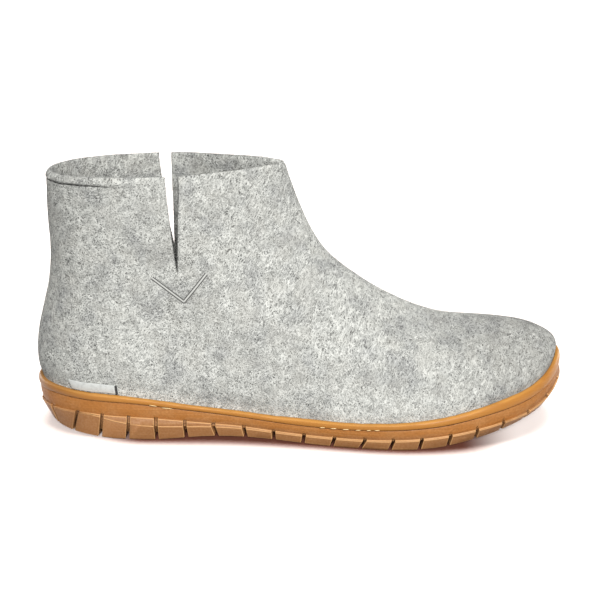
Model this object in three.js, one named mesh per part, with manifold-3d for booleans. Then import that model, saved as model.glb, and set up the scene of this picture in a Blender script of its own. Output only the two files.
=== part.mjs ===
import * as THREE from 'three';
import Module from 'manifold-3d';
import { mergeVertices } from 'three/addons/utils/BufferGeometryUtils.js';

// Right felt boot on a moulded rubber sole. Millimetres, toe +X, outer side -Y, up +Z.

const LENGTH = 290;              // heel to toe over the sole, EU 42
const BALL_WIDTH = 108;          // over the sole at the ball of the foot
const RIM_HEIGHT = 28;           // top of the foxing above the floor at the heel
const SHAFT_HEIGHT = 147;        // collar above the floor
const WALL = 4.5;                // felt thickness
const CLEARANCE = 0.3;           // between pieces that meet
const FOXING_WALL = 2.6;         // rubber strip around the foot of the upper
const RIM_ROUND = 2.2;           // rise of the rounded collar edge
const BLOCKS = 42;               // tread blocks around the edge of the sole
const GROOVE = 1.6;              // gap between two blocks
const GROOVE_DEPTH = 3.4;        // how far a gap runs into the side of the sole
const TREAD_DEPTH = 3.2;         // height of the tread blocks
const BLOCK_REACH = 8.5;         // how far an edge block runs in under the sole
const BLOCK_LIP = 0.7;           // how far the blocks stand out from the foot of the side wall
const LEDGE_RISE = 0.35;         // slope of the ledge on top of the blocks
const SEAM_SET = 1;              // top edge of the outsole, in from the outline
const SEAT = 4;                  // how far the outsole runs in under the foot of the upper
const BAR_LENGTH = 9;            // tread bars under the heel and the ball
const BAR_SLANT = 4;             // how far a bar's middle points to the toe
const BAR_SINK = 1.2;            // how far a bar runs up into the sole
const CUFF_WAY = 0.986;          // lower edge of the rolled cuff, share of the way up
const CUFF_STEP = 0.6;           // how far the cuff stands out
const INSOLE_THICKNESS = 4;
const SLIT_WAY = 0.7;            // foot of the slits, share of the way up
const SLIT_OUTER = [0.276, 0.281]; // front edge of a slit at its foot and at the collar, shares of length
const SLIT_INNER = [0.256, 0.253];
const SLIT_GAP = 6.8;            // width of a slit at the collar
const TAB_START = 22;            // back end of the side tab
const TAB_LENGTH = 26;
const TAB_HEIGHT = 5;
const TAB_WALL = 0.6;
const TAB_LIFT = 0.4;            // between the felt and the tab
const TAB_LOW = 0.046;           // lower edge of the tab, share of the way up

// Outline of the sole: share of length, then shares of the ball width.
// centre, half width outside, half width inside (each times the sine of the angle round the outline)
const PLAN = [
  [0.00, 0.000, 0.650, 0.650],
  [0.07, 0.000, 0.565, 0.565],
  [0.14, 0.000, 0.490, 0.480],
  [0.21, 0.000, 0.437, 0.418],
  [0.31, 0.000, 0.386, 0.352],
  [0.41, 0.000, 0.389, 0.330],
  [0.52, 0.000, 0.435, 0.361],
  [0.62, 0.005, 0.518, 0.438],
  [0.69, 0.014, 0.580, 0.495],
  [0.76, 0.028, 0.632, 0.542],
  [0.83, 0.046, 0.676, 0.577],
  [0.90, 0.070, 0.738, 0.595],
  [0.95, 0.083, 0.785, 0.607],
  [1.00, 0.093, 0.860, 0.620],
];

// Side of the sole: share of length, then shares of the rim height.
// underside, top of blocks, height of their bevel, seam under the foxing, rim,
// inset of the underside, inset of the side
const SOLE = [
  [0.000, 0.160, 0.525, 0.015, 0.850, 1.030, 0.265, 0.085],
  [0.040, 0.107, 0.525, 0.015, 0.836, 1.000, 0.225, 0.075],
  [0.097, 0.043, 0.514, 0.020, 0.793, 0.946, 0.155, 0.065],
  [0.138, 0.004, 0.486, 0.079, 0.775, 0.929, 0.130, 0.060],
  [0.180, -0.012, 0.475, 0.130, 0.757, 0.889, 0.110, 0.055],
  [0.224, -0.002, 0.454, 0.146, 0.707, 0.836, 0.100, 0.055],
  [0.283, 0.050, 0.400, 0.104, 0.629, 0.743, 0.095, 0.055],
  [0.338, 0.090, 0.357, 0.061, 0.564, 0.675, 0.090, 0.055],
  [0.390, 0.095, 0.325, 0.043, 0.507, 0.629, 0.090, 0.055],
  [0.448, 0.070, 0.262, 0.032, 0.439, 0.568, 0.090, 0.055],
  [0.510, 0.025, 0.214, 0.029, 0.391, 0.543, 0.090, 0.055],
  [0.569, -0.010, 0.200, 0.029, 0.379, 0.521, 0.090, 0.055],
  [0.672, -0.012, 0.221, 0.029, 0.414, 0.557, 0.095, 0.055],
  [0.724, 0.018, 0.250, 0.029, 0.450, 0.604, 0.105, 0.055],
  [0.776, 0.061, 0.300, 0.029, 0.504, 0.671, 0.120, 0.050],
  [0.828, 0.139, 0.364, 0.029, 0.593, 0.771, 0.145, 0.045],
  [0.886, 0.246, 0.461, 0.029, 0.700, 0.911, 0.180, 0.040],
  [0.934, 0.368, 0.571, 0.029, 0.804, 1.021, 0.185, 0.030],
  [0.972, 0.482, 0.768, 0.029, 0.964, 1.196, 0.180, 0.022],
  [1.000, 0.589, 1.018, 0.029, 1.179, 1.430, 0.190, 0.015],
];

// Rings of the upper from the foxing to the collar: share of the way up, back x, back z, front x, front z,
// dip of the sole line, centre at the front, then half widths at five stations along the ring.
// x as shares of length, z as shares of the shaft height, widths as shares of the ball width
const UPPER = [
  [0.04, 0.0090, 0.1950, 0.9910, 0.2700, 1.00, 0.093, 0.588, 0.375, 0.421, 0.583, 0.694],
  [0.10, 0.0015, 0.2380, 0.9935, 0.2900, 0.97, 0.093, 0.581, 0.373, 0.415, 0.572, 0.683],
  [0.18, 0.0000, 0.3060, 0.9870, 0.3180, 0.90, 0.093, 0.574, 0.370, 0.407, 0.550, 0.648],
  [0.26, 0.0048, 0.3810, 0.9660, 0.3480, 0.80, 0.088, 0.556, 0.362, 0.394, 0.510, 0.585],
  [0.35, 0.0135, 0.4560, 0.9170, 0.3830, 0.66, 0.079, 0.530, 0.358, 0.380, 0.450, 0.487],
  [0.44, 0.0215, 0.5240, 0.8350, 0.3970, 0.50, 0.060, 0.500, 0.354, 0.362, 0.392, 0.405],
  [0.53, 0.0262, 0.5850, 0.7520, 0.4170, 0.36, 0.042, 0.472, 0.350, 0.350, 0.355, 0.350],
  [0.62, 0.0275, 0.6500, 0.6660, 0.4890, 0.24, 0.028, 0.448, 0.348, 0.340, 0.325, 0.308],
  [0.71, 0.0280, 0.7100, 0.5990, 0.5740, 0.14, 0.019, 0.430, 0.347, 0.334, 0.303, 0.275],
  [0.80, 0.0275, 0.7780, 0.5470, 0.6610, 0.07, 0.009, 0.415, 0.348, 0.333, 0.288, 0.250],
  [0.90, 0.0268, 0.8660, 0.5075, 0.7930, 0.02, 0.005, 0.400, 0.350, 0.336, 0.280, 0.232],
  [1.00, 0.0265, 0.9560, 0.4740, 0.9850, 0.00, 0.000, 0.390, 0.353, 0.341, 0.277, 0.220],
];
const STATIONS = [0.05, 0.30, 0.55, 0.75, 0.95];

const MATERIALS = {
  felt: { color: 0xc9cac5, roughness: 0.95, metalness: 0 },
  insole: { color: 0xa6a5a0, roughness: 0.95, metalness: 0 },
  rubber: { color: 0xb9864f, roughness: 0.55, metalness: 0 },
  foxing: { color: 0xc8893a, roughness: 0.42, metalness: 0 },
  tab: { color: 0xd9dbd6, roughness: 0.8, metalness: 0 },
};

const clamp = THREE.MathUtils.clamp;
const lerp = THREE.MathUtils.lerp;
const smooth = THREE.MathUtils.smoothstep;

// A table read as smooth curves: share in, one value per column out.
function reader(rows) {
  const shares = rows.map((row) => row[0]);
  const width = rows[0].length - 1;
  const values = new Float64Array(rows.flatMap((row) => row.slice(1)));
  const spline = new THREE.CubicInterpolant(shares, values, width, new Float64Array(width));
  const first = shares[0];
  const last = shares[shares.length - 1];
  return (share) => Array.from(spline.evaluate(clamp(share, first, last)));
}

const plan = reader(PLAN);
const sole = reader(SOLE);
const upperRow = reader(UPPER);

function soleAt(share) {
  const [low, blockTop, bevel, seam, rim, underInset, sideInset] = sole(share).map((v) => v * RIM_HEIGHT);
  return { under: Math.max(low, 0), blockTop, bevel, seam, rim, underInset, sideInset };
}

// Outline of the sole at an angle: 0 at the heel, 90 degrees at the outer side, 180 at the toe.
function outline(angle, inset = 0) {
  const share = (1 - Math.cos(angle)) / 2;
  const [centre, outer, inner] = plan(share);
  const half = (Math.sin(angle) >= 0 ? outer : inner) * BALL_WIDTH - inset;
  const x = inset + (LENGTH - 2 * inset) * share;
  return new THREE.Vector2(x, centre * BALL_WIDTH - half * Math.sin(angle));
}

// The same outline sampled at equal steps, with the direction out of the sole at each point.
const DENSE = 2000;
const dense = Array.from({ length: DENSE }, (_, i) => outline((i / DENSE) * 2 * Math.PI));
const run = [0];
for (let i = 0; i < DENSE; i += 1) run.push(run[i] + dense[i].distanceTo(dense[(i + 1) % DENSE]));
const PERIMETER = run[DENSE];

function along(distance) {
  const s = ((distance % PERIMETER) + PERIMETER) % PERIMETER;
  let low = 0;
  let high = DENSE;
  while (high - low > 1) {
    const middle = (low + high) >> 1;
    if (run[middle] <= s) low = middle;
    else high = middle;
  }
  const part = (s - run[low]) / (run[low + 1] - run[low]);
  const a = dense[low];
  const b = dense[(low + 1) % DENSE];
  const before = dense[(low + DENSE - 2) % DENSE];
  const after = dense[(low + 3) % DENSE];
  const point = a.clone().lerp(b, part);
  const tangent = after.clone().sub(before).normalize();
  const out = new THREE.Vector2(tangent.y, -tangent.x);
  return { point, out, share: clamp(point.x / LENGTH, 0, 1) };
}

function place(spot, inset, z) {
  return new THREE.Vector3(spot.point.x - spot.out.x * inset, spot.point.y - spot.out.y * inset, z);
}

// Collects corners and faces of one solid.
class Skin {
  constructor() {
    this.points = [];
    this.faces = [];
  }

  add(point) {
    this.points.push(point);
    return this.points.length - 1;
  }

  ring(points) {
    return points.map((point) => this.add(point));
  }

  quad(a, b, c, d) {
    this.triangle(a, b, c);
    this.triangle(a, c, d);
  }

  triangle(a, b, c) {
    if (a !== b && b !== c && a !== c) this.faces.push(a, b, c);
  }

  // Faces between two closed rings of the same length.
  band(low, high) {
    for (let i = 0; i < low.length; i += 1) {
      const j = (i + 1) % low.length;
      this.quad(low[i], low[j], high[j], high[i]);
    }
  }

  // Closes a ring across from side to side, starting at the heel.
  cap(ring, facingUp) {
    const n = ring.length;
    for (let i = 0, j = n; j - i > 1;) {
      const left = ring[i];
      const right = ring[j % n];
      const nextLeft = i + 1;
      const nextRight = j - 1;
      if (i + (n - j) === 0 || i <= n - j) {
        if (facingUp) this.triangle(left, ring[nextLeft], right);
        else this.triangle(left, right, ring[nextLeft]);
        i = nextLeft;
      } else {
        if (facingUp) this.triangle(left, ring[nextRight], right);
        else this.triangle(left, right, ring[nextRight]);
        j = nextRight;
      }
    }
  }

  geometry() {
    const geometry = new THREE.BufferGeometry();
    const values = this.points.flatMap((point) => point.toArray());
    geometry.setAttribute('position', new THREE.Float32BufferAttribute(values, 3));
    geometry.setIndex(this.faces);
    return geometry;
  }
}

// Rings from columns of points that run round the outline.
function ringsOf(skin, columns) {
  return columns[0].map((_, row) => skin.ring(columns.map((column) => column[row])));
}

const wasm = await Module();
wasm.setup();

function toManifold(geometry) {
  const bare = geometry.clone();
  bare.deleteAttribute('normal');
  bare.deleteAttribute('uv');
  const merged = mergeVertices(bare, 1e-4);
  return new wasm.Manifold(new wasm.Mesh({
    numProp: 3,
    vertProperties: new Float32Array(merged.attributes.position.array),
    triVerts: new Uint32Array(merged.index.array),
  }));
}

function fromManifold(solid) {
  const mesh = solid.getMesh();
  const geometry = new THREE.BufferGeometry();
  geometry.setAttribute('position', new THREE.BufferAttribute(new Float32Array(mesh.vertProperties), 3));
  geometry.setIndex(new THREE.BufferAttribute(new Uint32Array(mesh.triVerts), 1));
  return geometry;
}

// Outsole: edge blocks, bevel, side wall and bed in one moulding.
const PITCH = PERIMETER / BLOCKS;
const HAIR = 0.01;                // keeps the rings of a gap apart

// The gaps between the blocks: share of length, how far the top runs on towards the toe from the foot,
// how far the whole gap is moved towards the toe. The last two are shares of the pitch.
const GAPS = [
  [0.00, 0.00, 0.00],
  [0.07, 0.34, 0.13],
  [0.12, 0.13, 0.137],
  [0.165, 0.095, 0.083],
  [0.21, -0.02, 0.05],
  [0.265, -0.01, 0.035],
  [0.32, -0.10, 0.00],
  [0.39, -0.06, 0.00],
  [0.45, 0.00, -0.03],
  [0.50, 0.05, -0.03],
  [0.56, 0.11, -0.03],
  [0.61, 0.18, -0.03],
  [0.67, 0.13, -0.05],
  [0.745, 0.06, -0.078],
  [0.79, 0.04, -0.083],
  [0.845, -0.02, -0.118],
  [0.895, -0.07, -0.093],
  [0.95, -0.04, -0.04],
  [1.00, 0.00, 0.00],
];
const gapAt = reader(GAPS);

function edgeColumns() {
  const columns = [];
  const phase = 0.36 * PITCH;
  const draft = 0.15 * GROOVE;
  for (let block = 0; block < BLOCKS; block += 1) {
    const start = phase + block * PITCH;
    columns.push({ s: start - GROOVE / 2 - draft, deep: false });
    columns.push({ s: start - GROOVE / 2, deep: true });
    columns.push({ s: start + GROOVE / 2, deep: true });
    columns.push({ s: start + GROOVE / 2 + draft, deep: false });
    columns.push({ s: start + PITCH / 2, deep: false });
  }
  return columns;
}

function outsoleSkin() {
  const skin = new Skin();
  const columns = edgeColumns().map(({ s, deep }) => {
    const side = along(s);
    const size = soleAt(side.share);
    const toToe = side.point.y < 0 ? PITCH : -PITCH;
    const [turn, move] = gapAt(side.share);
    const foot = along(s + (move - turn / 2) * toToe);
    const head = along(s + (move + turn / 2) * toToe);
    const floor = size.under + TREAD_DEPTH;
    const low = (step) => (deep ? floor + step * HAIR : size.under);
    const sunk = deep ? GROOVE_DEPTH : 0;
    return [
      place(foot, size.underInset + 1.24 * BLOCK_REACH, floor),
      place(foot, size.underInset + BLOCK_REACH, deep ? low(1) : floor),
      place(foot, size.underInset + 0.93 * BLOCK_REACH, low(2)),
      place(foot, size.underInset + sunk, low(3)),
      place(head, size.sideInset - BLOCK_LIP - 0.3 * size.bevel + 0.7 * sunk, size.blockTop - size.bevel),
      place(head, size.sideInset - BLOCK_LIP + 0.55 * sunk, size.blockTop),
      place(head, size.sideInset + 0.4 * BLOCK_LIP, size.blockTop + LEDGE_RISE),
      place(side, size.sideInset * 0.6, (size.blockTop + size.seam) / 2),
      place(side, SEAM_SET, size.seam),
      place(side, FOXING_WALL + SEAT, size.seam),
    ];
  });
  const rings = ringsOf(skin, columns);
  skin.cap(rings[0], false);
  for (let i = 1; i < rings.length; i += 1) skin.band(rings[i - 1], rings[i]);
  skin.cap(rings[rings.length - 1], true);
  return skin;
}

// Tread bars under the heel and the ball: share of length, then half widths as shares of the ball width.
const BARS = [
  [0.13, 0.15, 0.15],
  [0.19, 0.16, 0.16],
  [0.25, 0.16, 0.15],
  [0.55, 0.20, 0.16],
  [0.61, 0.24, 0.19],
  [0.67, 0.27, 0.22],
  [0.73, 0.28, 0.25],
  [0.79, 0.26, 0.27],
];
function barGeometry([share, outer, inner]) {
  const skin = new Skin();
  const centre = plan(share)[0] * BALL_WIDTH;
  const rings = [0, 1].map((level) => {
    const grow = level * 0.045 * BAR_LENGTH;
    const fore = share * LENGTH + BAR_LENGTH / 2 + grow;
    const aft = share * LENGTH - BAR_LENGTH / 2 - grow;
    const left = centre - outer * BALL_WIDTH - grow;
    const right = centre + inner * BALL_WIDTH + grow;
    const rise = level * (TREAD_DEPTH + BAR_SINK);
    const at = (x, y) => new THREE.Vector3(x, y, soleAt(x / LENGTH).under + rise);
    return skin.ring([
      at(aft, left), at(aft + BAR_SLANT, (left + right) / 2), at(aft, right),
      at(fore, right), at(fore + BAR_SLANT, (left + right) / 2), at(fore, left),
    ]);
  });
  const close = (ring, up) => {
    const order = up ? [0, 5, 4, 1] : [0, 1, 4, 5];
    const other = up ? [1, 4, 3, 2] : [1, 2, 3, 4];
    skin.quad(...order.map((i) => ring[i]));
    skin.quad(...other.map((i) => ring[i]));
  };
  skin.band(rings[1], rings[0]);
  close(rings[0], false);
  close(rings[1], true);
  return skin.geometry();
}

function outsoleGeometry() {
  let solid = toManifold(outsoleSkin().geometry());
  for (const bar of BARS) solid = solid.add(toManifold(barGeometry(bar)));
  return fromManifold(solid);
}

// Outer face of the upper at a share of the way up and an angle round the foot.
const RIM_SHARE = UPPER[0][0];

function dip(share) {
  const chord = lerp(soleAt(0).rim, soleAt(1).rim, share);
  return soleAt(share).rim - chord;
}

function stationWidth(widths, share) {
  const spline = new THREE.CubicInterpolant(STATIONS, new Float64Array(widths), 1, new Float64Array(1));
  return spline.evaluate(clamp(share, STATIONS[0], STATIONS[4]))[0];
}

function upperPoint(way, angle) {
  const share = (1 - Math.cos(angle)) / 2;
  const sine = Math.sin(angle);
  const outside = sine >= 0;
  const [centre, planOuter, planInner] = plan(share);
  const planHalf = (outside ? planOuter : planInner) * BALL_WIDTH;
  const inset = FOXING_WALL + CLEARANCE;
  const low = soleAt(share);
  if (way <= RIM_SHARE) {
    const flat = outline(angle, inset);
    return new THREE.Vector3(flat.x, flat.y, lerp(low.seam + CLEARANCE, low.rim, way / RIM_SHARE));
  }
  const [backX, backZ, frontX, frontZ, sag, lead, ...widths] = upperRow(way);
  const skew = ((planOuter - planInner) / (planOuter + planInner)) * (1 - way);
  const own = stationWidth(widths, share) * BALL_WIDTH * (outside ? 1 + skew : 1 - skew);
  const half = lerp(planHalf - inset, own, smooth(way, RIM_SHARE, 0.2));
  const axis = lerp(centre * BALL_WIDTH, lead * BALL_WIDTH * share ** 3, smooth(way, RIM_SHARE, 0.2));
  const x = lerp(backX, frontX, share) * LENGTH;
  const rise = smooth(way, RIM_SHARE, 0.1);
  const straight = lerp(backZ, frontZ, share) * SHAFT_HEIGHT + sag * dip(share);
  const z = lerp(low.rim + (way - RIM_SHARE) * 0.6 * SHAFT_HEIGHT, straight, rise);
  return new THREE.Vector3(x, axis - half * sine, z);
}

function upperNormal(way, angle) {
  const step = 0.004;
  const lowWay = Math.max(way - step, 0);
  const highWay = Math.min(way + step, 1);
  const across = upperPoint(way, angle + step).sub(upperPoint(way, angle - step));
  const up = upperPoint(highWay, angle).sub(upperPoint(lowWay, angle));
  return across.cross(up).normalize();
}

// Angle of a column: the column at 90 degrees follows the slit line, its neighbours ease away from it.
const COLUMNS = 76;
const QUARTER = COLUMNS / 4;

function slitX(way, outside) {
  const [foot, top] = outside ? SLIT_OUTER : SLIT_INNER;
  return lerp(foot, top, clamp((way - SLIT_WAY) / (1 - SLIT_WAY), 0, 1)) * LENGTH;
}

function angleAtX(way, x) {
  const [backX, , frontX] = upperRow(Math.max(way, RIM_SHARE));
  const share = clamp((x / LENGTH - backX) / (frontX - backX), 0, 1);
  return Math.acos(1 - 2 * share);
}

function columnAngle(way, column, backEdge) {
  const turn = (column / COLUMNS) * 2 * Math.PI;
  const half = turn > Math.PI ? 2 * Math.PI - turn : turn;
  const follow = smooth(way, 0, 0.35);
  const edge = slitX(way, turn <= Math.PI);
  const target = angleAtX(way, edge);
  let angle = half + (target - Math.PI / 2) * follow * Math.sin(half);
  if (half < Math.PI / 2 || backEdge) {
    const open = clamp((way - SLIT_WAY) / (1 - SLIT_WAY), 0, 1) ** 0.9 * SLIT_GAP;
    const moved = angleAtX(way, edge - open) - target;
    const weight = backEdge ? 1 : smooth(half, Math.PI / 6, Math.PI / 2);
    angle += moved * weight;
  }
  return turn > Math.PI ? 2 * Math.PI - angle : angle;
}

// Rows of the outer face, from the foot up; the cuff begins between the last two close rows.
const OUTER_ROWS = [0, 0.04, 0.065, 0.1, 0.15, 0.21, 0.27, 0.33, 0.39, 0.45, 0.51, 0.57, 0.63, SLIT_WAY,
  0.77, 0.84, 0.91, CUFF_WAY - 0.006, CUFF_WAY + 0.004, 1];
const INNER_ROWS = [0, 0.04, 0.1, 0.18, 0.27, 0.36, 0.45, 0.54, 0.62, SLIT_WAY, 0.77, 0.84, 0.91, 1];

function cuffAt(way, angle) {
  const half = angle > Math.PI ? 2 * Math.PI - angle : angle;
  const round = 1 - smooth(half, Math.PI * 0.34, Math.PI * 0.46);
  return way > CUFF_WAY ? CUFF_STEP * round : 0;
}

function outerPoint(way, angle) {
  return upperPoint(way, angle).addScaledVector(upperNormal(way, angle), cuffAt(way, angle));
}

function innerPoint(way, angle, depth = WALL) {
  const normal = upperNormal(way, angle);
  const level = 1 - smooth(way, 0.03, 0.16);
  normal.z *= 1 - level;
  normal.normalize();
  return upperPoint(way, angle).addScaledVector(normal, -depth);
}

function upperGeometry() {
  const skin = new Skin();
  const slots = new Set([QUARTER, COLUMNS - QUARTER]);
  const layer = (way, make) => {
    const main = [];
    const edge = [];
    for (let i = 0; i < COLUMNS; i += 1) {
      main.push(skin.add(make(way, columnAngle(way, i, false))));
      const split = slots.has(i) && way > SLIT_WAY;
      edge.push(split ? skin.add(make(way, columnAngle(way, i, true))) : main[i]);
    }
    return { main, edge, way };
  };
  const outer = OUTER_ROWS.map((way) => layer(way, outerPoint));
  const crown = [0.28, 0.72].map((part) => layer(1, (way, angle) => {
    const top = outerPoint(way, angle).lerp(innerPoint(way, angle), part);
    top.z += RIM_ROUND;
    return top;
  }));
  const inner = INNER_ROWS.map((way) => layer(way, (w, angle) => innerPoint(w, angle))).reverse();
  const layers = [...outer, ...crown, ...inner];
  // The back half of the loop uses the edge corners of a slit column, the front half its main corners.
  const ends = (row, i) => {
    const j = (i + 1) % COLUMNS;
    const from = i === COLUMNS - QUARTER ? row.edge[i] : row.main[i];
    const to = j === QUARTER ? row.edge[j] : row.main[j];
    return [from, to];
  };
  for (let r = 0; r < layers.length; r += 1) {
    const low = layers[r];
    const high = layers[(r + 1) % layers.length];
    for (let i = 0; i < COLUMNS; i += 1) {
      const [a, b] = ends(low, i);
      const [d, c] = ends(high, i);
      skin.quad(a, b, c, d);
    }
  }
  // Side faces of the slits.
  const cut = (list) => list.filter((row) => row.way >= SLIT_WAY);
  const outerCut = cut(outer);
  const innerCut = cut([...inner].reverse());
  for (const slot of slots) {
    for (const side of ['main', 'edge']) {
      const flip = (side === 'edge') === (slot === QUARTER);
      const outside = outerCut.map((row) => row[side][slot]);
      const inside = innerCut.map((row) => row[side][slot]);
      const stitch = (a, b, c) => (flip ? skin.triangle(a, b, c) : skin.triangle(a, c, b));
      let i = 0;
      let j = 0;
      while (i < outside.length - 1 || j < inside.length - 1) {
        const nextOut = i < outside.length - 1 ? outerCut[i + 1].way : 2;
        const nextIn = j < inside.length - 1 ? innerCut[j + 1].way : 2;
        if (nextOut <= nextIn) {
          stitch(outside[i], inside[j], outside[i + 1]);
          i += 1;
        } else {
          stitch(outside[i], inside[j], inside[j + 1]);
          j += 1;
        }
      }
      const tops = [outside[i], crown[0][side][slot], crown[1][side][slot], inside[j]];
      stitch(tops[0], tops[3], tops[1]);
      stitch(tops[1], tops[3], tops[2]);
    }
  }
  return skin.geometry();
}

// Foxing: rubber strip lying against the foot of the upper, on the edge of the outsole.
const STRIP_COLUMNS = 84;

function foxingGeometry() {
  const skin = new Skin();
  const columns = Array.from({ length: STRIP_COLUMNS }, (_, i) => {
    const angle = columnAngleOfSpot(i);
    const size = soleAt(clamp(outline(angle).x / LENGTH, 0, 1));
    const base = size.seam + CLEARANCE;
    const top = size.rim - CLEARANCE;
    const normal = upperNormal(RIM_SHARE / 2, angle).setZ(0).normalize();
    const back = (way, z) => upperPoint(way, angle).addScaledVector(normal, CLEARANCE).setZ(z);
    const front = (thick, z) => upperPoint(RIM_SHARE / 2, angle)
      .addScaledVector(normal, thick * FOXING_WALL + CLEARANCE).setZ(z);
    return [
      back(0, base),
      front(0.88, base),
      front(1.12, lerp(base, size.rim, 0.35)),
      front(1.08, lerp(base, size.rim, 0.75)),
      front(0.7, top),
      back(RIM_SHARE, top),
    ];
  });
  const rings = ringsOf(skin, columns);
  for (let i = 0; i < rings.length; i += 1) skin.band(rings[i], rings[(i + 1) % rings.length]);
  return skin.geometry();
}

// Angles that space the strip's columns evenly round the outline.
function columnAngleOfSpot(index) {
  const wanted = (index / STRIP_COLUMNS) * PERIMETER;
  let low = 0;
  let high = DENSE;
  while (high - low > 1) {
    const middle = (low + high) >> 1;
    if (run[middle] <= wanted) low = middle;
    else high = middle;
  }
  return ((low + (wanted - run[low]) / (run[low + 1] - run[low])) / DENSE) * 2 * Math.PI;
}

// Insole: felt footbed on the outsole, inside the upper.
const BED_COLUMNS = 60;

function insoleGeometry() {
  const skin = new Skin();
  const columns = Array.from({ length: BED_COLUMNS }, (_, i) => {
    const at = (inset, lift) => {
      const point = innerPoint(0, (i / BED_COLUMNS) * 2 * Math.PI, WALL + inset * INSOLE_THICKNESS);
      return point.setZ(point.z + lift * INSOLE_THICKNESS);
    };
    return [at(0.3, 0), at(0.15, 0.2), at(0.15, 0.8), at(0.35, 1)];
  });
  const rings = ringsOf(skin, columns);
  skin.cap(rings[0], false);
  for (let i = 1; i < rings.length; i += 1) skin.band(rings[i - 1], rings[i]);
  skin.cap(rings[rings.length - 1], true);
  return skin.geometry();
}

// Side tab: a small blank strip lying on the felt above the foxing, on the outer side of the heel.
const TAB_STEPS = 8;

// Way up at which the felt has risen by a height above another way up.
function wayAbove(way, height, angle) {
  const low = upperPoint(way, angle).z;
  let high = way;
  while (upperPoint(high, angle).z - low < height) high += 0.001;
  return high;
}

function tabGeometry() {
  const skin = new Skin();
  const angles = Array.from({ length: TAB_STEPS + 1 }, (_, i) => (
    angleAtX(TAB_LOW, TAB_START + (TAB_LENGTH * i) / TAB_STEPS)));
  const edge = (way, lift) => angles.map((angle) => {
    const at = way(angle);
    return skin.add(upperPoint(at, angle).addScaledVector(upperNormal(at, angle), lift));
  });
  const low = () => TAB_LOW;
  const high = (angle) => wayAbove(TAB_LOW, TAB_HEIGHT, angle);
  const [backLow, backHigh] = [edge(low, TAB_LIFT), edge(high, TAB_LIFT)];
  const [faceLow, faceHigh] = [edge(low, TAB_LIFT + TAB_WALL), edge(high, TAB_LIFT + TAB_WALL)];
  for (let i = 0; i < TAB_STEPS; i += 1) {
    skin.quad(faceLow[i], faceLow[i + 1], faceHigh[i + 1], faceHigh[i]);
    skin.quad(backLow[i + 1], backLow[i], backHigh[i], backHigh[i + 1]);
    skin.quad(backLow[i], backLow[i + 1], faceLow[i + 1], faceLow[i]);
    skin.quad(faceHigh[i], faceHigh[i + 1], backHigh[i + 1], backHigh[i]);
  }
  skin.quad(backLow[0], faceLow[0], faceHigh[0], backHigh[0]);
  skin.quad(faceLow[TAB_STEPS], backLow[TAB_STEPS], backHigh[TAB_STEPS], faceHigh[TAB_STEPS]);
  return skin.geometry();
}

function node(name, geometry, look) {
  geometry.computeVertexNormals();
  const mesh = new THREE.Mesh(geometry, new THREE.MeshStandardMaterial(look));
  mesh.name = name;
  return mesh;
}

const pieces = [
  node('outsole', outsoleGeometry(), MATERIALS.rubber),
  node('foxing', foxingGeometry(), MATERIALS.foxing),
  node('upper', upperGeometry(), MATERIALS.felt),
  node('insole', insoleGeometry(), MATERIALS.insole),
  node('label_tab', tabGeometry(), MATERIALS.tab),
];

const group = new THREE.Group();
group.name = 'wool_boot';
group.add(...pieces);

// Origin at the middle of the bottom of the whole boot.
const box = new THREE.Box3().setFromObject(group);
for (const piece of pieces) {
  piece.geometry.translate(-(box.min.x + box.max.x) / 2, -(box.min.y + box.max.y) / 2, -box.min.z);
}

export default group;
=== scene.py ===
"""Wool felt boot on a moulded rubber sole: felt, rubber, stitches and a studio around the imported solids."""

import math

import bmesh
import bpy
import numpy as np
from bpy.props import FloatProperty, FloatVectorProperty, IntProperty, PointerProperty
from bpy.types import Operator, Panel, PropertyGroup
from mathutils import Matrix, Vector, noise
from mathutils.bvhtree import BVHTree


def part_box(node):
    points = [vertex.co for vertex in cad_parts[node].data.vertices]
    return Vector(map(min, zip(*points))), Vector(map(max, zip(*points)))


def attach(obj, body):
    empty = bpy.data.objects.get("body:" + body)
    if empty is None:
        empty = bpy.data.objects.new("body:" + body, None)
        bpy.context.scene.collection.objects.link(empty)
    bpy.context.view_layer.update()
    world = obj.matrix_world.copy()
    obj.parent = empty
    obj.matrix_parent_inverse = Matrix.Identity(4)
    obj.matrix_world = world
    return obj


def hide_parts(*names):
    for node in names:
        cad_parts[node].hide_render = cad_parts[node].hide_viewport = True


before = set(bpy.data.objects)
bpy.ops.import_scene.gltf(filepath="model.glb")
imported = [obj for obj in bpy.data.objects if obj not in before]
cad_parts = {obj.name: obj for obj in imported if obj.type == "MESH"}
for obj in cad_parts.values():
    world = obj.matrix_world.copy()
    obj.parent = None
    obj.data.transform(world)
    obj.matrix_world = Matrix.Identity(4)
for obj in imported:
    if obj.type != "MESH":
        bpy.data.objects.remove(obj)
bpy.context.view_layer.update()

bl_info = {
    "name": "Wool boot",
    "version": (1, 0, 0),
    "blender": (4, 5, 0),
    "location": "View3D > Sidebar > Boot",
    "description": "Dresses the solids of a felt boot in wool, rubber and thread",
    "category": "Object",
}

MM = 0.001
HEEL_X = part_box("outsole")[0].x
COLLAR_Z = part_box("upper")[1].z

# Middle of the shaft and its front end along the boot, and the height of the foot's middle. Metres.
SHAFT_X = HEEL_X + 0.062
SHAFT_END = HEEL_X + 0.12
FOOT_Z = 0.035

# The groove under the rolled cuff: how it climbs forward, and its height at x = 0.
CUFF_SLOPE = 1.9 / 136
CUFF_HEIGHT = 138.7 * MM - CUFF_SLOPE * HEEL_X

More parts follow.
